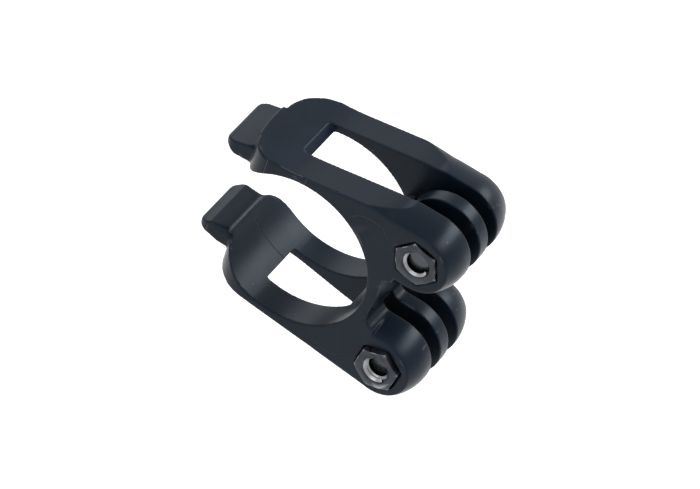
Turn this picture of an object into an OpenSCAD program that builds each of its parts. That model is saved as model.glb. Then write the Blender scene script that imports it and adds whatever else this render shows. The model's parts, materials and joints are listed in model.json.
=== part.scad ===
// Stem accessory mount: one moulded C-shaped bracket that grips a round bar, with two
// three-finger forks at the front, each closed by a low-head bolt and a captive hex nut.
// +X points from the bar to the forks, +Y runs along the bar, +Z is up.
// The origin is on the bar's axis, half-way across the bracket's width.

/* [Ring] */
// Diameter of the bar that the ring grips
bar_d = 31.8; // [28:0.1:35]
// Width of the bracket along the bar
body_w = 22; // [20.8:0.1:26]
// Thickness of the web between the ring and the forks
web_t = 2.3; // [1.8:0.1:3.5]
// Thinnest wall of an arm, above the bar
arm_wall = 1.5; // [1.2:0.1:3.5]
// Half angle of the web, seen from the bar's axis
web_half_angle = 40; // [30:1:44]
// Slope of an arm's outer surface, from the fork down to the ring
arm_slope = 11; // [8:0.5:14]
// Slope of the rounded edges of the upper arm's outer surface
upper_edge_slope = 0; // [0:0.5:8]
// Slope of the rounded edges of the lower arm's outer surface
lower_edge_slope = 6; // [0:0.5:8]

/* [Arm ends] */
// Half height of the mouth between the two arm ends
mouth_half = 8.7; // [7:0.1:10]
// How far the shoulder at an arm's end stands out past the mouth's edge
shoulder_reach = 0.9; // [0.5:0.1:1.5]
// How far the shoulder at an arm's end stands above the mouth
shoulder_h = 7.6; // [6:0.1:9]
// Radius of each shoulder's tighter corner, in plan: by the nuts above, by the heads below
tight_corner_r = 5; // [2:0.5:7]
// Radius of each shoulder's wider corner, in plan
wide_corner_r = 8; // [4:0.5:9]
// Width of the tab on an arm's end
tab_w = 12.8; // [10:0.2:15]
// Length of the tab, from the edge of the bore to its tip
tab_len = 6.2; // [4:0.2:8]
// Height of the tab at its root
tab_h = 4.8; // [4:0.2:6]
// Thickness of the tab's tip
tab_tip_t = 1.6; // [1.2:0.1:2]
// Radius of the tab's corners, in plan
tab_corner_r = 2; // [1:0.5:3]

/* [Window and forks] */
// Distance of the middle fingers from the middle of the width, towards the bolt heads
fork_offset = 0.25; // [0:0.05:0.8]
// Thickness of the middle finger of a fork
finger_t = 3; // [2.6:0.1:3.6]
// Width of each slot beside the middle finger
slot_w = 3.3; // [3:0.1:3.8]
// Distance between the two bolt axes
fork_spacing = 27.4; // [25:0.2:32]
// Distance from the web's front to a bolt axis
fork_reach = 4.6; // [4:0.2:8]
// Diameter of the round end of the fingers
lug_d = 15; // [14:0.2:16]
// Distance from the bar's axis back to the closed end of a window, at the bore
window_back = 4.1; // [3:0.1:5.5]
// The same distance at the arm's outer surface
window_back_out = 5.9; // [4.5:0.1:7]
// Radius of the corners at the closed end of a window
window_corner_r = 1.2; // [0.5:0.1:2]
// How far the outer fingers are rounded down at the side faces
crown_drop = 1.4; // [0.6:0.1:1.8]
// Half width of the flat part of the fingers' round ends
crown_flat = 5.6; // [5.2:0.1:7]
// Radius of the fillet between the web and a fork
fork_fillet_r = 2; // [1:0.1:2.5]
// Radius of the rounding along the edges of the web
web_edge_r = 0.8; // [0.4:0.1:1]

/* [Fasteners] */
// Nominal diameter of the bolts
bolt_d = 5; // [4:0.5:5]
// Depth of a bolt's tip below the side of the bracket
tip_recess = 1.2; // [0.5:0.1:1.8]
// Diameter of a bolt's head
head_d = 8.5; // [8:0.1:9]
// Height of a bolt's head
head_h = 3.5; // [3:0.1:4]
// Size across the flats of the hex socket in a bolt's head
socket_af = 3; // [2.5:0.5:3]
// Depth of the hex socket
socket_depth = 2; // [1.5:0.1:2.4]
// Size across the flats of a nut
nut_af = 8; // [7:0.5:8.5]
// Thickness of a nut
nut_t = 4; // [3.2:0.1:4.7]
// Height of the upper nut's outer face above the side of the bracket
upper_nut_proud = 0.3; // [0:0.1:1.2]
// Height of the lower nut's outer face above the side of the bracket
lower_nut_proud = 1; // [0:0.1:1.5]
// Turn of the upper nut and its pocket about the bolt
upper_nut_turn = 12; // [0:1:60]
// Turn of the lower nut and its pocket about the bolt
lower_nut_turn = 40; // [0:1:60]

/* [Fits] */
// Radial clearance of a bolt in the bracket's holes
hole_clear = 0.1; // [0.05:0.05:0.2]
// Radial clearance of a bolt in its nut
thread_clear = 0.05; // [0.03:0.01:0.1]
// Clearance around a nut, across the flats, in its pocket
pocket_clear = 0.3; // [0.1:0.05:0.4]
// Radial clearance around a bolt's head in its counterbore
head_clear = 0.3; // [0.1:0.05:0.4]
// Depth of a bolt's head below the side of the bracket
head_sink = 0.6; // [0:0.1:0.7]

/* [Hidden] */
plastic = [0.13, 0.14, 0.155];
black_steel = [0.2, 0.2, 0.21];
$fn = 96;
fine = 180;
cut = 1;

bar_r = bar_d / 2;
half_w = body_w / 2;
web_r = bar_r + web_t;
lug_r = lug_d / 2;
fork_x = web_r + fork_reach;
fork_z = fork_spacing / 2;
fork_top = fork_z + lug_r;
fork_bottom = fork_z - lug_r;
channel_w = finger_t + 2 * slot_w;

// The outer surface of an arm runs from the fork's knee to the thin wall over the bar,
// then level to the shoulder: ring_top is where it touches the circle of the ring's outside.
ring_r = bar_r + arm_wall;
ring_top = [-ring_r * sin(arm_slope), ring_r * cos(arm_slope)];
knee_x = ring_top[0] + (fork_top - ring_top[1]) / tan(arm_slope);
shoulder_top = mouth_half + shoulder_h;

// The mouth's edge is where its half height meets the bore
mouth_x = -sqrt(bar_r * bar_r - mouth_half * mouth_half);
shoulder_x = mouth_x - shoulder_reach;
end_bow = 0.8;
end_bow_r = 36;

// The tab's inner face is flat, then rises to the round tip
tab_flat = 4;
tab_rise = 0.3;
tab_hook = 1.2;
tab_crown_r = 20;
tab_tip_x = mouth_x - tab_len;

// Centre of the fillet under a finger, and its angle seen from the bar's axis
fillet_z = fork_bottom - fork_fillet_r;
fillet_x = sqrt(pow(web_r + fork_fillet_r, 2) - fillet_z * fillet_z);
fillet_angle = atan2(fillet_z, fillet_x);

// Arc that rounds the fingers down to the side faces
crown_run = half_w - crown_flat;
wide = body_w + 2 * cut;
crown_r = (crown_run * crown_run + crown_drop * crown_drop) / (2 * crown_drop);

// The arm's outer surface runs out inside the round end, this far below it and past its axis
arm_inset = 0.05;
arm_lap = 0.5;

// Seats of the fasteners along the bolt
head_seat = half_w - head_sink - head_h;
bolt_len = head_seat + half_w - tip_recess;
bolt_hole_r = bolt_d / 2 + hole_clear;
counterbore_r = head_d / 2 + head_clear;
nut_bore_r = bolt_d / 2 + thread_clear;
nut_chamfer = 0.35;
nut_flare = 2 * nut_chamfer;
thread_mouth = 0.35;
tip_chamfer = 0.5;
head_edge = 0.4;

// Radius of the corners of a hexagon with a given size across its flats
function hex_r(af) = af / 2 / cos(30);

// Turns a solid made along +Z so that it lies along the bolt, which runs in +Y
module along_bolt() {
    rotate([-90, 0, 0]) children();
}

// Draws a flat shape in X and Z and gives it a width along Y, centred
module side_plate(width) {
    rotate([90, 0, 0])
        linear_extrude(width, center = true)
            children();
}

// Half of the round end's outline, from the bolt axis outwards
module crown_section(width) {
    intersection() {
        translate([0, -width / 2])
            square([lug_r, width]);
        union() {
            translate([0, -crown_flat])
                square([lug_r, 2 * crown_flat]);
            for (side = [-1, 1])
                translate([lug_r - crown_r, side * crown_flat])
                    circle(crown_r, $fn = fine);
        }
    }
}

// Bar whose outer surface is crowned like the fingers, and inset below theirs
module crowned_bar(length, inset) {
    rotate([90, 0, 90])
        linear_extrude(length)
            rotate(90)
                translate([-inset, 0]) {
                    crown_section(wide + cut);
                    translate([-fork_top, -(wide + cut) / 2])
                        square([fork_top, wide + cut]);
                }
}

// Fillet where the underside of a finger meets the round front of the web
module fork_fillet() {
    touch = web_r * [cos(fillet_angle), sin(fillet_angle)];
    difference() {
        polygon([
            touch,
            [fillet_x, fork_bottom],
            [fillet_x, fork_bottom + cut],
            [touch[0] - cut, fork_bottom + cut],
            [touch[0] - cut, touch[1]]
        ]);
        translate([fillet_x, fillet_z])
            circle(fork_fillet_r);
    }
}

// Outline of an arm seen along the bar, before the bore is cut
module arm_outline() {
    polygon([
        [0, fork_bottom],
        [fork_x, fork_bottom],
        [fork_x, fork_top],
        [knee_x, fork_top],
        ring_top,
        [shoulder_x - cut, shoulder_top],
        [shoulder_x - cut, mouth_half],
        [0, mouth_half]
    ]);
    fork_fillet();
}

// Plan of an arm: a slightly bowed end with two rounded corners
module arm_plan(near_r, far_r) {
    end_x = shoulder_x + end_bow;
    corners = [[-1, near_r], [1, far_r]];
    intersection() {
        union() {
            for (corner = corners)
                translate([end_x + corner[1], corner[0] * (half_w - corner[1])])
                    circle(corner[1]);
            for (corner = corners)
                mirror([0, corner[0] < 0 ? 1 : 0])
                    translate([end_x + corner[1], 0])
                        square([fork_x - end_x, wide / 2]);
            translate([end_x - cut, near_r - half_w])
                square([fork_x, body_w - near_r - far_r]);
        }
        translate([shoulder_x + end_bow_r, 0])
            circle(end_bow_r, $fn = fine);
    }
}

// An arm up to the bolt axis, with its outer surface crowned
module arm_block(edge_slope, near_r, far_r) {
    length = fork_x - shoulder_x + 2 * cut;
    intersection() {
        side_plate(body_w)
            arm_outline();
        translate([0, 0, -cut])
            linear_extrude(fork_top + 2 * cut)
                arm_plan(near_r, far_r);
        translate([fork_x, 0, fork_z])
            rotate([0, -edge_slope, 0])
                translate([-length, 0, 0])
                    crowned_bar(length + arm_lap, arm_inset);
    }
}

// What the crown takes off the underside of a finger, between its fillet and the bolt axis
module under_crown() {
    length = fork_x - fillet_x + cut;
    difference() {
        translate([fillet_x, -wide / 2, 0])
            cube([length, wide, fork_z]);
        translate([fillet_x - cut, 0, fork_z])
            mirror([0, 0, 1])
                crowned_bar(length + 2 * cut, 0);
    }
}

// Round end of a fork's fingers
module round_end() {
    translate([fork_x, 0, fork_z])
        rotate([90, 0, 0])
            rotate_extrude()
                crown_section(body_w);
}

// Window in the arm, which runs on between the outer fingers. Its closed end leans away.
module channel() {
    end_z = sqrt(bar_r * bar_r - window_back * window_back);
    half_channel = channel_w / 2;
    translate([0, fork_offset, 0])
        intersection() {
            side_plate(channel_w + 2 * cut)
                polygon([
                    [-window_back, fillet_z - cut],
                    [fork_x + lug_d, fillet_z - cut],
                    [fork_x + lug_d, fork_top + cut],
                    [-window_back_out, fork_top + cut],
                    [-window_back_out, ring_top[1]],
                    [-window_back, end_z]
                ]);
            linear_extrude(fork_top + 2 * cut) {
                translate([window_corner_r - window_back_out, -half_channel])
                    square([fork_x + 2 * lug_d, channel_w]);
                translate([-window_back_out - cut, window_corner_r - half_channel])
                    square([fork_x, channel_w - 2 * window_corner_r]);
                for (side = [-1, 1])
                    translate([window_corner_r - window_back_out, side * (half_channel - window_corner_r)])
                        circle(window_corner_r);
            }
        }
}

// Middle finger with its root on the web
module middle_finger() {
    root = web_r * [cos(web_half_angle), sin(web_half_angle)];
    translate([0, fork_offset, 0])
        side_plate(finger_t) {
            translate([fork_x, fork_z])
                circle(lug_r);
            polygon([
                [bar_r, fork_bottom],
                [fork_x, fork_bottom],
                [fork_x, fork_z],
                [fork_x - lug_r, fork_z],
                root
            ]);
            fork_fillet();
        }
}

// Web that joins the two arms, concentric with the bar, with rounded front edges
module web() {
    edge_y = half_w - web_edge_r;
    reach = 2 * web_r;
    intersection() {
        rotate([90, 0, 0])
            rotate_extrude() {
                translate([bar_r - cut, -half_w])
                    square([web_t + cut - web_edge_r, body_w]);
                translate([bar_r - cut, -edge_y])
                    square([web_t + cut, 2 * edge_y]);
                for (side = [-1, 1])
                    translate([web_r - web_edge_r, side * edge_y])
                        circle(web_edge_r);
            }
        side_plate(wide)
            polygon([
                [0, 0],
                reach * [cos(web_half_angle), -sin(web_half_angle)],
                reach * [cos(web_half_angle), sin(web_half_angle)]
            ]);
    }
}

// Tab that reaches forward from an arm's end, crowned on its outside
module tab() {
    tip_r = tab_tip_t / 2;
    tip = [tab_tip_x + tip_r, mouth_half + tab_hook + tip_r];
    intersection() {
        side_plate(tab_w) {
            polygon([
                [mouth_x + 2 * cut, mouth_half],
                [shoulder_x, mouth_half],
                [mouth_x - tab_flat, mouth_half + tab_rise],
                [tip[0], tip[1] - tip_r],
                [tip[0], tip[1] + tip_r],
                [mouth_x + 2 * cut, mouth_half + tab_h]
            ]);
            translate(tip)
                circle(tip_r);
        }
        translate([0, 0, mouth_half - cut])
            linear_extrude(tab_h + 3 * cut) {
                translate([tab_tip_x + tab_corner_r, -tab_w])
                    square([2 * tab_len, 2 * tab_w]);
                translate([tab_tip_x - cut, tab_corner_r - tab_w / 2])
                    square([2 * tab_len, tab_w - 2 * tab_corner_r]);
                for (side = [-1, 1])
                    translate([tab_tip_x + tab_corner_r, side * (tab_w / 2 - tab_corner_r)])
                        circle(tab_corner_r);
            }
        translate([tab_tip_x - cut, 0, mouth_half + tab_h - tab_crown_r])
            rotate([0, 90, 0])
                cylinder(r = tab_crown_r, h = 2 * tab_len, $fn = fine);
    }
}

// Bolt hole, counterbore and hex pocket of one fork
module bolt_cuts(proud, turn) {
    pocket_depth = nut_t - proud;
    translate([fork_x, 0, fork_z])
        along_bolt() {
            translate([0, 0, -half_w - cut])
                cylinder(r = bolt_hole_r, h = body_w + 2 * cut);
            translate([0, 0, head_seat])
                cylinder(r = counterbore_r, h = half_w - head_seat + cut);
            translate([0, 0, -half_w - cut])
                rotate(turn)
                    cylinder(r = hex_r(nut_af + pocket_clear), h = pocket_depth + cut, $fn = 6);
        }
}

// One arm with its fork, finished apart from the bore
module arm(edge_slope, near_r, far_r, proud, turn) {
    difference() {
        union() {
            difference() {
                union() {
                    difference() {
                        arm_block(edge_slope, near_r, far_r);
                        under_crown();
                    }
                    round_end();
                }
                channel();
            }
            middle_finger();
            tab();
        }
        bolt_cuts(proud, turn);
    }
}

// The bar's bore, with its seam in the mouth so that the wall is one unbroken face
module bore() {
    rotate([90, 0, 0])
        rotate(180)
            cylinder(r = bar_r, h = wide, center = true, $fn = fine);
}

// The one-piece moulded bracket
module bracket() {
    color(plastic)
        difference() {
            union() {
                arm(upper_edge_slope, tight_corner_r, wide_corner_r, upper_nut_proud, upper_nut_turn);
                mirror([0, 0, 1])
                    arm(
                        lower_edge_slope,
                        wide_corner_r,
                        tight_corner_r,
                        lower_nut_proud,
                        -lower_nut_turn
                    );
                web();
            }
            bore();
        }
}

// Hex nut with chamfered corners, standing on z = 0
module nut() {
    corner_r = hex_r(nut_af);
    difference() {
        intersection() {
            cylinder(r = corner_r, h = nut_t, $fn = 6);
            union() {
                cylinder(r1 = nut_af / 2, r2 = nut_af / 2 + nut_flare, h = nut_chamfer);
                translate([0, 0, nut_chamfer])
                    cylinder(r = nut_af / 2 + nut_flare, h = nut_t - 2 * nut_chamfer);
                translate([0, 0, nut_t - nut_chamfer])
                    cylinder(r1 = nut_af / 2 + nut_flare, r2 = nut_af / 2, h = nut_chamfer);
            }
        }
        translate([0, 0, -cut])
            cylinder(r = nut_bore_r, h = nut_t + 2 * cut);
        translate([0, 0, -cut])
            cylinder(r1 = nut_bore_r + thread_mouth + cut, r2 = nut_bore_r, h = thread_mouth + cut);
        translate([0, 0, nut_t - thread_mouth])
            cylinder(r1 = nut_bore_r, r2 = nut_bore_r + thread_mouth + cut, h = thread_mouth + cut);
    }
}

// A nut seated on the floor of its pocket
module seated_nut(z, proud, turn) {
    color(black_steel)
        translate([fork_x, -half_w - proud, z])
            along_bolt()
                rotate(turn)
                    nut();
}

// Low-head bolt with a hex socket, seated in its counterbore
module bolt(z) {
    color(black_steel)
        translate([fork_x, head_seat, z])
            along_bolt()
                difference() {
                    union() {
                        translate([0, 0, -bolt_len])
                            cylinder(r1 = bolt_d / 2 - tip_chamfer, r2 = bolt_d / 2, h = tip_chamfer);
                        translate([0, 0, tip_chamfer - bolt_len])
                            cylinder(r = bolt_d / 2, h = bolt_len - tip_chamfer);
                        cylinder(r = head_d / 2, h = head_h - head_edge);
                        translate([0, 0, head_h - head_edge])
                            cylinder(r1 = head_d / 2, r2 = head_d / 2 - head_edge, h = head_edge);
                    }
                    translate([0, 0, head_h - socket_depth])
                        cylinder(r = hex_r(socket_af), h = socket_depth + cut, $fn = 6);
                }
}

bracket();
seated_nut(fork_z, upper_nut_proud, upper_nut_turn);  // upper_nut
seated_nut(-fork_z, lower_nut_proud, lower_nut_turn);  // lower_nut
bolt(fork_z);  // upper_bolt
bolt(-fork_z);  // lower_bolt
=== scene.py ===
"""Looks of the stem accessory mount: softened moulding, nuts, threaded bolts, studio and camera.

Every length is in metres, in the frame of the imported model: +X from the bar to the forks,
+Y along the bar, +Z up, with the origin on the bar's axis.
"""

import json
import logging
import math
from dataclasses import dataclass
from enum import Enum

import bpy
from mathutils import Matrix, Vector


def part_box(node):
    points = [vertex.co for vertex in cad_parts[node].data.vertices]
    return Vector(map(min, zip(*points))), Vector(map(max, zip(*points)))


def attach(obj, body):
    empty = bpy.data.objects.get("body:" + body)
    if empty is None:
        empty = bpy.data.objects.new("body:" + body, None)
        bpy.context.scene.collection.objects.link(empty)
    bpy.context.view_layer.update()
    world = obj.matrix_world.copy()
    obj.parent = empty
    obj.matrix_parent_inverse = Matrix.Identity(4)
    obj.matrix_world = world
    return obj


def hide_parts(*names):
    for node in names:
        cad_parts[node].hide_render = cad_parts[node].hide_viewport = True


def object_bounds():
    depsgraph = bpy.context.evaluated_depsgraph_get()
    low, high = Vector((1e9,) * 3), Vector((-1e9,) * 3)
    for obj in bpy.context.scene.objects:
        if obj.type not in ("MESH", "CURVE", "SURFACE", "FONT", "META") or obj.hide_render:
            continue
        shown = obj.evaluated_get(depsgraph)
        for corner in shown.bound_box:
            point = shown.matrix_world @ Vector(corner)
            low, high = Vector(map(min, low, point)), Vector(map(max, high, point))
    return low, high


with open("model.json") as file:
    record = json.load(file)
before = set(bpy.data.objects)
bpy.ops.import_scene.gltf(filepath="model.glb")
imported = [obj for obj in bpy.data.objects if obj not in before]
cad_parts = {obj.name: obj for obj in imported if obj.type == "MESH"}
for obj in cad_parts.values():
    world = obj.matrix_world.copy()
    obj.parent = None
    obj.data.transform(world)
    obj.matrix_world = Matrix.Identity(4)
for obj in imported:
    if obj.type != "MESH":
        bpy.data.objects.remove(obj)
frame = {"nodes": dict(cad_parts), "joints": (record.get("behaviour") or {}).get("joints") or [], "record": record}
CAD_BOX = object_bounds()

LOG = logging.getLogger("stem_mount")
MM = 0.001
CUT = 0.1 * MM
ROUND_SIDES = 96
BORE_SIDES = 64
SHARP_ANGLE = 0.5
SMOOTH_ANGLE = math.radians(32)
LEVEL_SLACK = 0.01 * MM
LEVEL_NORMAL = 0.9
PATCH_RANGE = (0.35, 0.70)
Point = tuple[float, float, float]
Colour = tuple[float, float, float]


class Side(Enum):
    """The two forks of the mount, by the sign of their height."""

    UPPER = 1
    LOWER = -1

    @property
    def label(self) -> str:
        """The fork's name as the nodes spell it."""
        return self.name.lower()


NUT_TURNS = {Side.UPPER: 12.0, Side.LOWER: 40.0}


class NodeSheet:
    """A node tree with short calls to add nodes and join them."""

    def __init__(self, tree: bpy.types.NodeTree) -> None:
        """Wraps a tree.

        Args:
            tree: The material's, world's or group's node tree.
        """
        self.tree = tree

    def add(self, kind: str, **values: object) -> bpy.types.Node:
        """Adds a node and sets its sockets or properties.

        Args:
            kind: The node's class name.
            **values: Socket values by socket name with _ for a blank, or node properties.

        Returns:
            The new node.
        """
        node = self.tree.nodes.new(kind)
        for name, value in values.items():
            socket = node.inputs.get(name.replace("_", " "))
            if hasattr(node, name):
                setattr(node, name, value)
            elif isinstance(value, bpy.types.NodeSocket):
                self.tree.links.new(value, socket)
            else:
                socket.default_value = value
        return node

    def math(self, operation: str, *terms: object, clamp: bool = False) -> bpy.types.NodeSocket:
        """Adds a Math node.

        Args:
            operation: The node's operation.
            *terms: Numbers or sockets, one for each input.
            clamp: Whether the result is kept from 0 to 1.

        Returns:
            The node's output.
        """
        node = self.tree.nodes.new("ShaderNodeMath")
        node.operation = operation
        node.use_clamp = clamp
        for socket, term in zip(node.inputs, terms):
            if isinstance(term, bpy.types.NodeSocket):
                self.tree.links.new(term, socket)
            else:
                socket.default_value = term
        return node.outputs[0]

    def ramp(self, value: bpy.types.NodeSocket, low: float, high: float) -> bpy.types.NodeSocket:
        """Maps a range of a value smoothly to 0 to 1.

        Args:
            value: The value.
            low: Where the result is 0.
            high: Where the result is 1.

        Returns:
            The mapped value.
        """
        node = self.tree.nodes.new("ShaderNodeMapRange")
        node.interpolation_type = "SMOOTHSTEP"
        self.tree.links.new(value, node.inputs["Value"])
        node.inputs["From Min"].default_value = low
        node.inputs["From Max"].default_value = high
        return node.outputs["Result"]

    def blend(self, mask: object, low: object, high: object) -> bpy.types.NodeSocket:
        """Mixes two colours by a mask.

        Args:
            mask: A number or a socket from 0 to 1.
            low: The colour at 0.
            high: The colour at 1.

        Returns:
            The mixed colour.
        """
        node = self.tree.nodes.new("ShaderNodeMix")
        node.data_type = "RGBA"
        for socket, term in ((node.inputs[0], mask), (node.inputs[6], low), (node.inputs[7], high)):
            if isinstance(term, bpy.types.NodeSocket):
                self.tree.links.new(term, socket)
            else:
                socket.default_value = term
        return node.outputs[2]

    def join(self, source: bpy.types.NodeSocket, target: bpy.types.NodeSocket) -> None:
        """Links an output to an input."""
        self.tree.links.new(source, target)


def new_group(name: str, inputs: tuple[tuple[str, str], ...], outputs: tuple[str, ...]) -> NodeSheet:
    """Makes an empty shader node group.

    Args:
        name: The group's name.
        inputs: Each input's name and socket type.
        outputs: The names of its values.

    Returns:
        The group's sheet.
    """
    tree = bpy.data.node_groups.new(name, "ShaderNodeTree")
    for label, kind in inputs:
        tree.interface.new_socket(name=label, in_out="INPUT", socket_type=kind)
    for label in outputs:
        tree.interface.new_socket(name=label, in_out="OUTPUT", socket_type="NodeSocketFloat")
    return NodeSheet(tree)


def grain_group() -> bpy.types.NodeTree:
    """Builds the surface grain: a fine height and slow patches, on the piece's own coordinates.

    Returns:
        The group, with inputs Vector, Fine and Patch, and outputs Height and Patches.
    """
    inputs = (("Vector", "NodeSocketVector"), ("Fine", "NodeSocketFloat"), ("Patch", "NodeSocketFloat"))
    sheet = new_group("surface_grain", inputs, ("Height", "Patches"))
    given = sheet.add("NodeGroupInput")
    out = sheet.add("NodeGroupOutput")
    vector = given.outputs["Vector"]
    fine = sheet.add("ShaderNodeTexNoise", Vector=vector, Scale=given.outputs["Fine"], Detail=3.0)
    slow = sheet.add("ShaderNodeTexNoise", Vector=vector, Scale=given.outputs["Patch"], Detail=4.0)
    sheet.join(fine.outputs[0], out.inputs["Height"])
    sheet.join(slow.outputs[0], out.inputs["Patches"])
    return sheet.tree


def edge_group() -> bpy.types.NodeTree:
    """Builds the mask of worn edges from the surface's own curvature, which the finishes paint lighter as wear and
    as a painted highlight.

    Returns:
        The group, with inputs Start and Full, and the output Mask.
    """
    sheet = new_group("rubbed_edges", (("Start", "NodeSocketFloat"), ("Full", "NodeSocketFloat")), ("Mask",))
    given = sheet.add("NodeGroupInput")
    out = sheet.add("NodeGroupOutput")
    bend = sheet.add("ShaderNodeNewGeometry").outputs["Pointiness"]
    spread = sheet.math("SUBTRACT", given.outputs["Full"], given.outputs["Start"])
    rise = sheet.math("SUBTRACT", bend, given.outputs["Start"])
    sheet.join(sheet.math("DIVIDE", rise, spread, clamp=True), out.inputs["Mask"])
    return sheet.tree


def dust_group() -> bpy.types.NodeTree:
    """Builds sparse pale specks of dust.

    Returns:
        The group, with inputs Vector, Density and Radius, and the output Mask.
    """
    inputs = (("Vector", "NodeSocketVector"), ("Density", "NodeSocketFloat"), ("Radius", "NodeSocketFloat"))
    sheet = new_group("dust_specks", inputs, ("Mask",))
    given = sheet.add("NodeGroupInput")
    out = sheet.add("NodeGroupOutput")
    cells = sheet.add("ShaderNodeTexVoronoi", Vector=given.outputs["Vector"], Scale=given.outputs["Density"])
    near = sheet.math("LESS_THAN", cells.outputs["Distance"], given.outputs["Radius"])
    split = sheet.add("ShaderNodeSeparateColor", Color=cells.outputs["Color"])
    kept = sheet.math("GREATER_THAN", split.outputs[0], 0.8)
    sheet.join(sheet.math("MULTIPLY", near, kept), out.inputs["Mask"])
    return sheet.tree


@dataclass(frozen=True)
class RingMark:
    """The faint ring that a mould's pin leaves on the side of an arm; the plastic sinks it and darkens it with
    painted shade.
    """

    x: float = 12.5 * MM
    z: float = 12.8 * MM
    radius: float = 4.45 * MM
    line: float = 0.16 * MM
    fade_from: float = 0.3
    fade_to: float = 0.7
    lower_share: float = 0.35

    def mask(
        self, sheet: NodeSheet, x: bpy.types.NodeSocket, z: bpy.types.NodeSocket
    ) -> bpy.types.NodeSocket:
        """Draws the mask of the ring's outer arc in both arms.

        Args:
            sheet: The material's sheet.
            x: The surface's x.
            z: The surface's z.

        Returns:
            1 on the line and 0 away from it.
        """
        across = sheet.math("SUBTRACT", x, self.x)
        rise = sheet.math("SUBTRACT", sheet.math("ABSOLUTE", z), self.z)
        across_squared = sheet.math("MULTIPLY", across, across)
        rise_squared = sheet.math("MULTIPLY", rise, rise)
        away = sheet.math("SQRT", sheet.math("ADD", across_squared, rise_squared))
        off = sheet.math("ABSOLUTE", sheet.math("SUBTRACT", away, self.radius))
        line = sheet.math("SUBTRACT", 1.0, sheet.ramp(off, 0.0, self.line))
        fade = sheet.ramp(rise, self.fade_from * self.radius, self.fade_to * self.radius)
        arc = sheet.math("MULTIPLY", line, fade)
        fork = sheet.math("MAXIMUM", sheet.math("GREATER_THAN", z, 0.0), self.lower_share)
        return sheet.math("MULTIPLY", arc, fork)


@dataclass(frozen=True)
class WitnessLine:
    """A line that a joint in the mould leaves: where one coordinate has a value, within a box."""

    axis: int
    place: float
    low: Point
    high: Point
    line: float = 0.10 * MM

    def mask(self, sheet: NodeSheet, axes: list[bpy.types.NodeSocket]) -> bpy.types.NodeSocket:
        """Draws the line's mask.

        Args:
            sheet: The material's sheet.
            axes: The surface's x, y and z.

        Returns:
            1 on the line and 0 away from it.
        """
        off = sheet.math("ABSOLUTE", sheet.math("SUBTRACT", axes[self.axis], self.place))
        mask = sheet.math("SUBTRACT", 1.0, sheet.ramp(off, 0.0, self.line))
        for axis, low, high in zip(axes, self.low, self.high):
            mask = sheet.math("MULTIPLY", mask, sheet.math("GREATER_THAN", axis, low))
            mask = sheet.math("MULTIPLY", mask, sheet.math("LESS_THAN", axis, high))
        return mask


@dataclass(frozen=True)
class Groups:
    """The node groups that the finishes share."""

    grain: bpy.types.NodeTree
    edges: bpy.types.NodeTree
    dust: bpy.types.NodeTree


@dataclass(frozen=True)
class WornSurface:
    """What both finishes have: slow patches, a fine grain, and edges painted lighter as wear and as a painted
    highlight.
    """

    base: Colour
    patch: Colour
    rubbed: Colour
    roughness: float
    roughness_spread: float
    grain_scale: float
    patch_scale: float
    grain_depth: float
    edge_start: float
    edge_full: float

    def lay(
        self, sheet: NodeSheet, shader: bpy.types.Node, place: bpy.types.NodeSocket, groups: Groups
    ) -> tuple[bpy.types.NodeSocket, bpy.types.NodeSocket]:
        """Adds the surface to a material and sets its roughness.

        Args:
            sheet: The material's sheet.
            shader: Its Principled shader.
            place: The piece's own coordinates.
            groups: The shared node groups.

        Returns:
            The colour, and the normal with the grain's relief.
        """
        grain = sheet.add("ShaderNodeGroup", node_tree=groups.grain)
        sheet.join(place, grain.inputs["Vector"])
        grain.inputs["Fine"].default_value = self.grain_scale
        grain.inputs["Patch"].default_value = self.patch_scale
        edges = sheet.add("ShaderNodeGroup", node_tree=groups.edges)
        edges.inputs["Start"].default_value = self.edge_start
        edges.inputs["Full"].default_value = self.edge_full
        patches = sheet.ramp(grain.outputs["Patches"], *PATCH_RANGE)
        colour = sheet.blend(patches, (*self.base, 1.0), (*self.patch, 1.0))
        # Edges painted lighter: partly wear, partly a painted highlight.
        colour = sheet.blend(edges.outputs["Mask"], colour, (*self.rubbed, 1.0))
        spread = sheet.math("MULTIPLY", sheet.math("SUBTRACT", patches, 0.5), self.roughness_spread)
        sheet.join(sheet.math("ADD", spread, self.roughness), shader.inputs["Roughness"])
        relief = sheet.add("ShaderNodeBump", Distance=self.grain_depth, Height=grain.outputs["Height"])
        return colour, relief.outputs[0]


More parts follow.
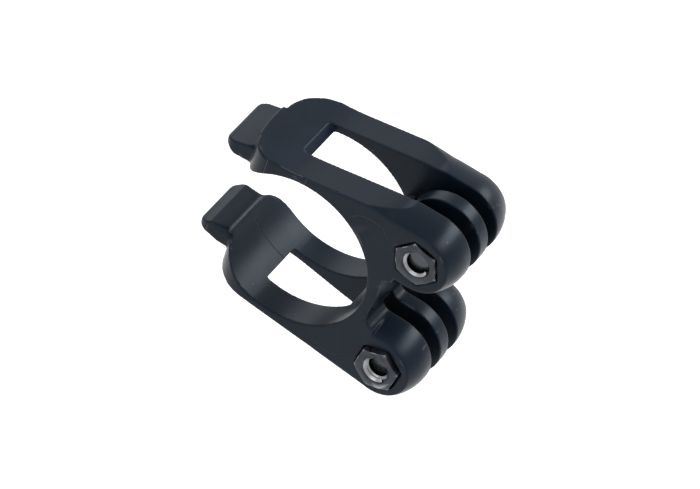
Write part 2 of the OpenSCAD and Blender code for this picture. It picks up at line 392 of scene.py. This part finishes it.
@dataclass(frozen=True)
class MouldedPlastic:
    """Satin dark plastic with a fine grain, dust, mould marks darkened with painted shade, parting lines painted
    pale as a painted glint, and edges painted lighter as wear and as a painted highlight.
    """

    surface: WornSurface = WornSurface(
        base=(0.0036, 0.0080, 0.0155),
        patch=(0.0058, 0.0115, 0.0215),
        rubbed=(0.045, 0.052, 0.062),
        roughness=0.34,
        roughness_spread=0.10,
        grain_scale=5200.0,
        patch_scale=110.0,
        grain_depth=0.012 * MM,
        edge_start=0.53,
        edge_full=0.64,
    )
    dust: Colour = (0.20, 0.21, 0.22)
    dust_density: float = 420.0
    dust_radius: float = 0.035
    # Near black: painted shade in the sunk mould marks.
    groove: Colour = (0.002, 0.003, 0.004)
    flash_share: float = 0.35
    tint: Colour = (0.80, 0.90, 1.0)
    specular: float = 0.17
    mark_depth: float = 0.06 * MM
    near_side: float = -10.6 * MM
    ring: RingMark = RingMark()
    lines: tuple[WitnessLine, ...] = (
        WitnessLine(1, 1.6 * MM, (-0.0125, 0.0, -0.0165), (-0.0040, 0.004, -0.0100)),
        WitnessLine(1, -10.75 * MM, (-0.0020, -0.0112, 0.0160), (0.0050, -0.0100, 0.0210), 0.16 * MM),
    )
    # Parting-line fins, painted pale as a painted glint.
    flash: tuple[WitnessLine, ...] = (
        WitnessLine(1, -10.75 * MM, (-0.0065, -0.0112, 0.0160), (-0.0020, -0.0100, 0.0210), 0.14 * MM),
        WitnessLine(0, -9.1 * MM, (-0.0100, -0.0112, 0.0130), (-0.0080, -0.0108, 0.0175)),
        WitnessLine(0, -1.2 * MM, (-0.0020, -0.0112, 0.0150), (0.0000, -0.0108, 0.0190)),
    )

    def material(self, groups: Groups) -> bpy.types.Material:
        """Builds the material.

        Args:
            groups: The shared node groups.

        Returns:
            The material.
        """
        material, sheet, shader = blank_material("moulded_plastic")
        place = sheet.add("ShaderNodeTexCoord").outputs["Object"]
        split = sheet.add("ShaderNodeSeparateXYZ", Vector=place)
        axes = [split.outputs[0], split.outputs[1], split.outputs[2]]
        colour, relief = self.surface.lay(sheet, shader, place, groups)
        dust = sheet.add("ShaderNodeGroup", node_tree=groups.dust)
        sheet.join(place, dust.inputs["Vector"])
        dust.inputs["Density"].default_value = self.dust_density
        dust.inputs["Radius"].default_value = self.dust_radius
        colour = sheet.blend(dust.outputs["Mask"], colour, (*self.dust, 1.0))
        near = sheet.math("LESS_THAN", axes[1], self.near_side)
        marks = sheet.math("MULTIPLY", self.ring.mask(sheet, axes[0], axes[2]), near)
        for line in self.lines:
            marks = sheet.math("MAXIMUM", marks, line.mask(sheet, axes))
        # These lines are painted pale: mould fins with a painted glint.
        for line in self.flash:
            pale = sheet.math("MULTIPLY", self.flash_share, line.mask(sheet, axes))
            colour = sheet.blend(pale, colour, (*self.dust, 1.0))
        # The mould marks are sunk by a bump and painted near black as painted shade.
        sheet.join(sheet.blend(marks, colour, (*self.groove, 1.0)), shader.inputs["Base Color"])
        shader.inputs["Specular Tint"].default_value = (*self.tint, 1.0)
        shader.inputs["Specular IOR Level"].default_value = self.specular
        sunk = sheet.add("ShaderNodeBump", Distance=self.mark_depth, Height=marks, Normal=relief)
        sunk.invert = True
        sheet.join(sunk.outputs[0], shader.inputs["Normal"])
        return material


@dataclass(frozen=True)
class BlackSteel:
    """Blackened steel with a fine grain and edges painted bright, as wear and as painted glints."""

    surface: WornSurface = WornSurface(
        base=(0.030, 0.035, 0.043),
        patch=(0.044, 0.050, 0.060),
        # Bright edges: wear and painted glints.
        rubbed=(0.42, 0.43, 0.45),
        roughness=0.28,
        roughness_spread=0.12,
        grain_scale=9000.0,
        patch_scale=600.0,
        grain_depth=0.006 * MM,
        edge_start=0.55,
        edge_full=0.68,
    )
    metallic: float = 0.75

    def material(self, groups: Groups) -> bpy.types.Material:
        """Builds the material.

        Args:
            groups: The shared node groups.

        Returns:
            The material.
        """
        material, sheet, shader = blank_material("black_steel")
        place = sheet.add("ShaderNodeTexCoord").outputs["Object"]
        colour, relief = self.surface.lay(sheet, shader, place, groups)
        sheet.join(colour, shader.inputs["Base Color"])
        shader.inputs["Metallic"].default_value = self.metallic
        sheet.join(relief, shader.inputs["Normal"])
        return material


def blank_material(name: str) -> tuple[bpy.types.Material, NodeSheet, bpy.types.Node]:
    """Makes a material that holds only a Principled shader.

    Args:
        name: The material's name.

    Returns:
        The material, its sheet and its shader.
    """
    material = bpy.data.materials.new(name)
    material.use_nodes = True
    tree = material.node_tree
    return material, NodeSheet(tree), tree.nodes["Principled BSDF"]


def deselect() -> None:
    """Deselects every object."""
    if bpy.context.object and bpy.context.object.mode != "OBJECT":
        bpy.ops.object.mode_set(mode="OBJECT")
    bpy.ops.object.select_all(action="DESELECT")


def pick(piece: bpy.types.Object) -> None:
    """Selects one object alone and makes it active."""
    deselect()
    piece.select_set(True)
    bpy.context.view_layer.objects.active = piece


def clean_faces(piece: bpy.types.Object, merge: float) -> None:
    """Merges a piece's doubled points and turns its faces outwards.

    Args:
        piece: The piece.
        merge: Points nearer than this become one.
    """
    pick(piece)
    bpy.ops.object.mode_set(mode="EDIT")
    bpy.ops.mesh.select_all(action="SELECT")
    bpy.ops.mesh.remove_doubles(threshold=merge)
    bpy.ops.mesh.normals_make_consistent(inside=False)
    bpy.ops.object.mode_set(mode="OBJECT")


def apply_modifier(piece: bpy.types.Object, kind: str, **settings: object) -> None:
    """Adds a modifier, sets it and applies it.

    Args:
        piece: The piece.
        kind: The modifier's type.
        **settings: Its properties.
    """
    pick(piece)
    modifier = piece.modifiers.new(kind.lower(), kind)
    for name, value in settings.items():
        setattr(modifier, name, value)
    bpy.ops.object.modifier_apply(modifier=modifier.name)


def soften_edges(piece: bpy.types.Object, width: float, segments: int) -> None:
    """Bevels a piece's sharp edges.

    Args:
        piece: The piece.
        width: The bevel's width.
        segments: How many faces go round each bevel.
    """
    apply_modifier(
        piece,
        "BEVEL",
        width=width,
        segments=segments,
        limit_method="ANGLE",
        angle_limit=SHARP_ANGLE,
    )


def boolean(piece: bpy.types.Object, tool: bpy.types.Object, operation: str) -> None:
    """Cuts, joins or intersects a piece with a tool, and removes the tool.

    Args:
        piece: The piece.
        tool: The other solid.
        operation: DIFFERENCE, UNION or INTERSECT.
    """
    apply_modifier(piece, "BOOLEAN", operation=operation, object=tool, solver="EXACT")
    bpy.data.objects.remove(tool)


def cylinder(radius: float, low: float, high: float, sides: int) -> bpy.types.Object:
    """Adds a cylinder along Z, with a corner on the X axis.

    Args:
        radius: Its radius, to its corners.
        low: Its lower end.
        high: Its upper end.
        sides: How many sides it has.

    Returns:
        The cylinder.
    """
    deselect()
    bpy.ops.mesh.primitive_cylinder_add(
        vertices=sides,
        radius=radius,
        depth=high - low,
        location=(0.0, 0.0, (low + high) / 2),
        rotation=(0.0, 0.0, math.pi / 2),
    )
    piece = bpy.context.object
    bpy.ops.object.transform_apply(location=True, rotation=True, scale=True)
    return piece


def select_level(piece: bpy.types.Object, height: float) -> None:
    """Enters edit mode with only the flat end at a height selected.

    Args:
        piece: The piece.
        height: The end's z.
    """
    pick(piece)
    for face in piece.data.polygons:
        face.select = abs(face.center.z - height) < LEVEL_SLACK and abs(face.normal.z) > LEVEL_NORMAL
    for edge in piece.data.edges:
        edge.select = False
    for point in piece.data.vertices:
        point.select = False
    bpy.ops.object.mode_set(mode="EDIT")
    bpy.ops.mesh.select_mode(type="FACE")


def taper_end(piece: bpy.types.Object, height: float, length: float, scale: float) -> None:
    """Extrudes a cylinder's end and narrows it, as a chamfer.

    Args:
        piece: The cylinder.
        height: The end's z.
        length: How far the end moves along Z.
        scale: The new end's size over the old one's.
    """
    select_level(piece, height)
    move = {"value": (0.0, 0.0, length)}
    bpy.ops.mesh.extrude_region_move(TRANSFORM_OT_translate=move)
    bpy.ops.transform.resize(value=(scale, scale, 1.0))
    bpy.ops.object.mode_set(mode="OBJECT")


@dataclass(frozen=True)
class Thread:
    """A screw thread as a helical ridge on a round core."""

    pitch: float = 0.8 * MM
    major_r: float = 2.48 * MM
    minor_r: float = 2.07 * MM
    steps: int = 28
    land: float = 0.94
    bury: float = 0.06 * MM
    merge: float = 0.0001 * MM

    def ridge(self, low: float, high: float, inward: bool) -> bpy.types.Object:
        """Winds the ridge along Z.

        Args:
            low: Where it starts.
            high: Where it ends.
            inward: Whether its crest points at the axis, as in a nut.

        Returns:
            The closed ridge.
        """
        deselect()
        depth = self.major_r - self.minor_r + self.bury
        turns = (high - low - self.pitch) / self.pitch
        bpy.ops.mesh.primitive_circle_add(vertices=3, radius=1.0, fill_type="NOTHING")
        piece = bpy.context.object
        # A triangle of radius 1 is 1.5 high and the square root of 3 wide.
        tall = depth / 1.5
        wide = self.pitch * self.land / math.sqrt(3.0)
        sign = -1.0 if inward else 1.0
        middle = self.minor_r + tall if inward else self.major_r - tall
        rows = (
            (0.0, sign * tall, 0.0, middle),
            (0.0, 0.0, -1.0, 0.0),
            (-wide, 0.0, 0.0, low + self.pitch / 2),
            (0.0, 0.0, 0.0, 1.0),
        )
        piece.data.transform(Matrix(rows))
        apply_modifier(
            piece,
            "SCREW",
            angle=turns * math.tau,
            screw_offset=turns * self.pitch,
            iterations=1,
            steps=max(3, round(self.steps * turns)),
            render_steps=max(3, round(self.steps * turns)),
            use_smooth_shade=False,
        )
        bpy.ops.object.mode_set(mode="EDIT")
        bpy.ops.mesh.select_all(action="SELECT")
        bpy.ops.mesh.fill_holes(sides=3)
        bpy.ops.object.mode_set(mode="OBJECT")
        clean_faces(piece, self.merge)
        return piece


def join_pieces(name: str, pieces: list[bpy.types.Object]) -> bpy.types.Object:
    """Joins solids in one named piece.

    Args:
        name: The piece's name.
        pieces: The solids.

    Returns:
        The piece.
    """
    pick(pieces[0])
    for piece in pieces[1:]:
        piece.select_set(True)
    if len(pieces) > 1:
        bpy.ops.object.join()
    pieces[0].name = name
    pieces[0].data.name = name
    return pieces[0]


def lay_along_bolt(piece: bpy.types.Object, seat: Vector, turn: float) -> None:
    """Turns a piece that was made along +Z so that it lies along +Y, and moves it to its seat.

    Args:
        piece: The piece, at the origin.
        seat: Where its own origin goes.
        turn: Its turn about its axis.
    """
    lie = Matrix.Rotation(-math.pi / 2, 4, "X")
    piece.data.transform(Matrix.Translation(seat) @ lie @ Matrix.Rotation(turn, 4, "Z"))
    pick(piece)
    bpy.ops.object.shade_smooth_by_angle(angle=SMOOTH_ANGLE)


def dress(piece: bpy.types.Object, material: bpy.types.Material) -> None:
    """Gives a piece its material.

    Args:
        piece: The piece.
        material: Its material.
    """
    piece.data.materials.clear()
    piece.data.materials.append(material)


@dataclass
class Moulding:
    """The one-piece bracket, with every edge softened as a mould leaves it."""

    voxel: float = 0.17 * MM
    smooth_share: float = 0.5
    smooth_passes: int = 6
    most_faces: int = 190_000
    merge: float = 0.001 * MM
    mouth_half: float = 8.7 * MM
    blend_reach: float = 3.2 * MM
    blend_passes: int = 150
    ease_from: float = -9.0 * MM
    ease_to: float = 21.0 * MM
    ease_step: float = 0.25 * MM
    ease_passes: int = 130
    rail_y: float = 8.0 * MM
    still_z: float = 14.0 * MM
    moved_z: float = 18.0 * MM

    def ease_arm(self, piece: bpy.types.Object, sign: float) -> None:
        """Evens out the changes of curvature along the outer face of one arm.

        Args:
            piece: The bracket's copy.
            sign: 1 for the upper arm and -1 for the lower one.
        """
        count = round((self.ease_to - self.ease_from) / self.ease_step)
        down = Vector((0.0, 0.0, -sign))
        heights = []
        for index in range(count + 1):
            above = Vector((self.ease_from + index * self.ease_step, self.rail_y, sign * 2 * self.moved_z))
            heights.append(sign * piece.ray_cast(above, down)[1].z)
        eased = list(heights)
        for _ in range(self.ease_passes):
            inner = [(a + 2 * b + c) / 4 for a, b, c in zip(eased, eased[1:], eased[2:])]
            eased = [eased[0], *inner, eased[-1]]
        lift = [new - old for new, old in zip(eased, heights)]
        LOG.info("arm %+d: eased by %.2f to %.2f mm", sign, min(lift) / MM, max(lift) / MM)
        for point in piece.data.vertices:
            share = (sign * point.co.z - self.still_z) / (self.moved_z - self.still_z)
            step = (point.co.x - self.ease_from) / self.ease_step
            if share > 0.0 and 0.0 < step < count:
                low = int(step)
                amount = lift[low] + (lift[low + 1] - lift[low]) * (step - low)
                point.co.z += sign * min(1.0, share) * amount

    def mouth_weights(self, piece: bpy.types.Object) -> str:
        """Marks the points round the two edges of the mouth, where the tabs run into the arms.

        Args:
            piece: The bracket's copy.

        Returns:
            The name of the vertex group.
        """
        clamp = next(mount for mount in frame["record"]["mounts"] if mount["name"] == "bar_clamp")
        radius = clamp["dims"]["r_mm"] * MM
        edge_x = -math.sqrt(radius * radius - self.mouth_half * self.mouth_half)
        group = piece.vertex_groups.new(name="mouth_edges")
        for point in piece.data.vertices:
            away = math.hypot(point.co.x - edge_x, abs(point.co.z) - self.mouth_half)
            if away < self.blend_reach:
                group.add([point.index], 1.0 - away / self.blend_reach, "REPLACE")
        return group.name

    def build(self, material: bpy.types.Material) -> bpy.types.Object:
        """Makes the softened copy of the bracket and puts it in the bracket's place.

        Args:
            material: The plastic.

        Returns:
            The piece.
        """
        node = frame["nodes"]["bracket"]
        piece = bpy.data.objects.new("moulded_bracket", node.data.copy())
        bpy.context.scene.collection.objects.link(piece)
        clean_faces(piece, self.merge)
        apply_modifier(piece, "REMESH", mode="VOXEL", voxel_size=self.voxel, adaptivity=0.0)
        apply_modifier(piece, "SMOOTH", factor=self.smooth_share, iterations=self.smooth_passes)
        mouth = self.mouth_weights(piece)
        apply_modifier(
            piece,
            "SMOOTH",
            factor=self.smooth_share,
            iterations=self.blend_passes,
            vertex_group=mouth,
        )
        for side in Side:
            self.ease_arm(piece, float(side.value))
        # Each face that the remesh leaves counts as two triangles.
        share = self.most_faces / (2 * len(piece.data.polygons))
        apply_modifier(piece, "DECIMATE", ratio=min(1.0, share))
        bpy.ops.object.shade_smooth()
        dress(piece, material)
        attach(piece, "bracket")
        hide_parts("bracket")
        LOG.info("%s: %d faces", piece.name, len(piece.data.polygons))
        return piece


@dataclass
class HexNut:
    """One captive nut: chamfered hexagon, threaded bore."""

    side: Side
    turn_deg: float
    across_flats: float = 7.8 * MM
    thickness: float = 4.0 * MM
    flare: float = 0.7 * MM
    chamfer: float = 0.35 * MM
    bore_r: float = 2.53 * MM
    mouth: float = 0.35 * MM
    soften: float = 0.04 * MM
    tip_gap: float = 0.15 * MM
    thread: Thread = Thread()

    def build(self, material: bpy.types.Material, axis: Vector) -> bpy.types.Object:
        """Makes the nut and puts it in its node's place.

        Args:
            material: The steel.
            axis: A point on the bolt's axis.

        Returns:
            The piece.
        """
        node = f"{self.side.label}_nut"
        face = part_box(node)[0].y
        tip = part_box(f"{self.side.label}_bolt")[0].y
        blank = cylinder(self.across_flats / 2 / math.cos(math.pi / 6), 0.0, self.thickness, 6)
        round_r = self.across_flats / 2 + self.flare
        barrel = cylinder(round_r, self.chamfer, self.thickness - self.chamfer, ROUND_SIDES)
        narrow = self.across_flats / 2 / round_r
        taper_end(barrel, self.chamfer, -self.chamfer, narrow)
        taper_end(barrel, self.thickness - self.chamfer, self.chamfer, narrow)
        boolean(blank, barrel, "INTERSECT")
        soften_edges(blank, self.soften, 2)
        bore = cylinder(self.bore_r, self.mouth, self.thickness - self.mouth, BORE_SIDES)
        run = self.mouth + CUT
        flare = (self.bore_r + run) / self.bore_r
        taper_end(bore, self.mouth, -run, flare)
        taper_end(bore, self.thickness - self.mouth, run, flare)
        boolean(blank, bore, "DIFFERENCE")
        ridge = self.thread.ridge(0.0, tip - face - self.tip_gap, True)
        piece = join_pieces(f"{self.side.label}_captive_nut", [blank, ridge])
        lay_along_bolt(piece, Vector((axis.x, face, axis.z)), math.radians(self.turn_deg))
        dress(piece, material)
        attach(piece, "bracket")
        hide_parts(node)
        LOG.info("%s: %d faces", piece.name, len(piece.data.polygons))
        return piece


@dataclass
class Bolt:
    """One low-head bolt: hex socket, softened head, threaded shank."""

    side: Side
    head_r: float = 4.25 * MM
    head_h: float = 3.5 * MM
    head_edge: float = 0.4 * MM
    socket_af: float = 3.0 * MM
    socket_depth: float = 2.0 * MM
    socket_lead: float = 0.25 * MM
    socket_point: float = 0.25
    tip_chamfer: float = 0.5 * MM
    tip_draft: float = 0.125 * MM
    core_overlap: float = 1.0 * MM
    ridge_overlap: float = 0.2 * MM
    thread: Thread = Thread()

    def build(self, material: bpy.types.Material, axis: Vector) -> bpy.types.Object:
        """Makes the bolt and puts it in its node's place.

        Args:
            material: The steel.
            axis: A point on the bolt's axis.

        Returns:
            The piece.
        """
        node = f"{self.side.label}_bolt"
        low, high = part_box(node)
        seat = high.y - self.head_h
        length = seat - low.y
        head = cylinder(self.head_r, 0.0, self.head_h, ROUND_SIDES)
        soften_edges(head, self.head_edge, 4)
        corner = self.socket_af / 2 / math.cos(math.pi / 6)
        socket = cylinder(corner, self.head_h - self.socket_depth, self.head_h - self.socket_lead, 6)
        run = self.socket_lead + CUT
        taper_end(socket, self.head_h - self.socket_lead, run, (corner + run) / corner)
        taper_end(socket, self.head_h - self.socket_depth, -self.socket_lead, self.socket_point)
        boolean(head, socket, "DIFFERENCE")
        core = cylinder(self.thread.minor_r, self.tip_chamfer - length, self.core_overlap, BORE_SIDES)
        tip = 1.0 - self.tip_draft / self.thread.minor_r
        taper_end(core, self.tip_chamfer - length, -self.tip_chamfer, tip)
        ridge = self.thread.ridge(self.tip_chamfer / 2 - length, self.ridge_overlap, False)
        piece = join_pieces(f"{self.side.label}_threaded_bolt", [head, core, ridge])
        lay_along_bolt(piece, Vector((axis.x, seat, axis.z)), 0.0)
        dress(piece, material)
        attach(piece, node)
        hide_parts(node)
        LOG.info("%s: %d faces", piece.name, len(piece.data.polygons))
        return piece


@dataclass(frozen=True)
class PhotoCamera:
    """The photograph's camera, fitted to the object's outline."""

    azimuth: float = 0.2895
    elevation: float = 0.7743
    roll: float = 0.3428
    shift_right: float = 5.4269 * MM
    shift_up: float = -4.8171 * MM
    distance: float = 938.3245 * MM
    focal_px: float = 5247.67
    width_px: float = 700.0
    sensor: float = 36.0
    clip_end: float = 20.0

    def build(self) -> bpy.types.Object:
        """Makes the camera and looks through it.

        Returns:
            The camera.
        """
        az, el = self.azimuth, self.elevation
        back = Vector((math.sin(az) * math.cos(el), -math.cos(az) * math.cos(el), math.sin(el)))
        level = Vector((math.cos(az), math.sin(az), 0.0))
        rise = back.cross(level)
        right = math.cos(self.roll) * level + math.sin(self.roll) * rise
        up = back.cross(right)
        data = bpy.data.cameras.new("photo_camera")
        data.sensor_width = self.sensor
        data.sensor_fit = "HORIZONTAL"
        data.lens = self.focal_px * self.sensor / self.width_px
        data.clip_end = self.clip_end
        camera = bpy.data.objects.new("photo_camera", data)
        bpy.context.scene.collection.objects.link(camera)
        turn = Matrix((right, up, back)).transposed().to_4x4()
        place = self.shift_right * right + self.shift_up * up + self.distance * back
        camera.matrix_world = Matrix.Translation(place) @ turn
        bpy.context.scene.camera = camera
        return camera


@dataclass(frozen=True)
class Softbox:
    """A rectangular studio lamp that points at the object."""

    name: str
    direction: Point
    along: Point
    distance: float
    width: float
    length: float
    radiance: float

    def build(self) -> None:
        """Makes the lamp."""
        data = bpy.data.lights.new(self.name, "AREA")
        data.shape = "RECTANGLE"
        data.size = self.width
        data.size_y = self.length
        data.energy = self.radiance * math.pi * self.width * self.length
        lamp = bpy.data.objects.new(self.name, data)
        bpy.context.scene.collection.objects.link(lamp)
        away = Vector(self.direction).normalized()
        long_axis = (Vector(self.along) - Vector(self.along).dot(away) * away).normalized()
        turn = Matrix((long_axis.cross(away), long_axis, away)).transposed().to_4x4()
        lamp.matrix_world = Matrix.Translation(away * self.distance) @ turn


@dataclass(frozen=True)
class Studio:
    """The pale floor, the soft lamps and the light all round."""

    floor_gap: float = 30.0 * MM
    floor_size: float = 6.0
    floor_colour: float = 0.80
    floor_glow: float = 0.60
    sky: float = 0.25
    lamps: tuple[Softbox, ...] = (
        Softbox("key_strip", (0.46, 0.44, 0.75), (0.18, -0.63, 0.20), 0.80, 0.30, 0.95, 7.8),
        Softbox("back_panel", (-0.66, 0.64, 0.42), (0.0, 0.0, 1.0), 1.20, 0.50, 0.70, 1.8),
        Softbox("near_fill", (-0.30, -0.85, 0.25), (0.0, 0.0, 1.0), 1.10, 0.70, 0.70, 1.8),
    )

    def build(self) -> None:
        """Makes the floor, the lamps and the world."""
        self.floor()
        for lamp in self.lamps:
            lamp.build()
        self.world()

    def floor(self) -> None:
        deselect()
        low = CAD_BOX[0][2] - self.floor_gap
        bpy.ops.mesh.primitive_plane_add(size=self.floor_size, location=(0.0, 0.0, low))
        plane = bpy.context.object
        plane.name = "studio_floor"
        material, sheet, shader = blank_material("studio_floor")
        shader.inputs["Base Color"].default_value = (self.floor_colour,) * 3 + (1.0,)
        shader.inputs["Roughness"].default_value = 1.0
        shader.inputs["Specular IOR Level"].default_value = 0.0
        glow = sheet.add("ShaderNodeEmission", Strength=seen_directly(sheet, self.floor_glow))
        both = sheet.add("ShaderNodeAddShader")
        sheet.join(shader.outputs[0], both.inputs[0])
        sheet.join(glow.outputs[0], both.inputs[1])
        sheet.join(both.outputs[0], sheet.tree.nodes["Material Output"].inputs["Surface"])
        plane.data.materials.append(material)

    def world(self) -> None:
        """Lights the scene softly from all round, with a white that is seen and not lit by."""
        world = bpy.data.worlds.new("studio_world")
        world.use_nodes = True
        bpy.context.scene.world = world
        sheet = NodeSheet(world.node_tree)
        back = world.node_tree.nodes["Background"]
        back.inputs["Color"].default_value = (1.0, 1.0, 1.0, 1.0)
        extra = seen_directly(sheet, 1.0 - self.sky)
        sheet.join(sheet.math("ADD", extra, self.sky), back.inputs["Strength"])


def seen_directly(sheet: NodeSheet, strength: float) -> bpy.types.NodeSocket:
    """Gives a strength only to rays from the camera, off a shiny surface and through glass.

    Args:
        sheet: The stage's sheet.
        strength: The strength for those rays.

    Returns:
        The strength, or 0 for every other ray.
    """
    path = sheet.add("ShaderNodeLightPath")
    seen = sheet.math("MAXIMUM", path.outputs["Is Camera Ray"], path.outputs["Is Glossy Ray"])
    seen = sheet.math("MAXIMUM", seen, path.outputs["Is Transmission Ray"])
    return sheet.math("MULTIPLY", seen, strength)


def main() -> None:
    """Builds the camera, the pieces and the studio in order."""
    logging.basicConfig(level=logging.INFO, format="%(name)s: %(message)s")
    bpy.context.scene.view_settings.view_transform = "Standard"
    PhotoCamera().build()
    groups = Groups(grain_group(), edge_group(), dust_group())
    plastic = MouldedPlastic().material(groups)
    steel = BlackSteel().material(groups)
    Moulding().build(plastic)
    axes = {joint["child"]: Vector(joint["pos_m"]) for joint in frame["joints"]}
    for side, turn in NUT_TURNS.items():
        axis = axes[f"{side.label}_bolt"]
        HexNut(side, turn).build(steel, axis)
        Bolt(side).build(steel, axis)
    Studio().build()


if __name__ == "__main__":
    main()
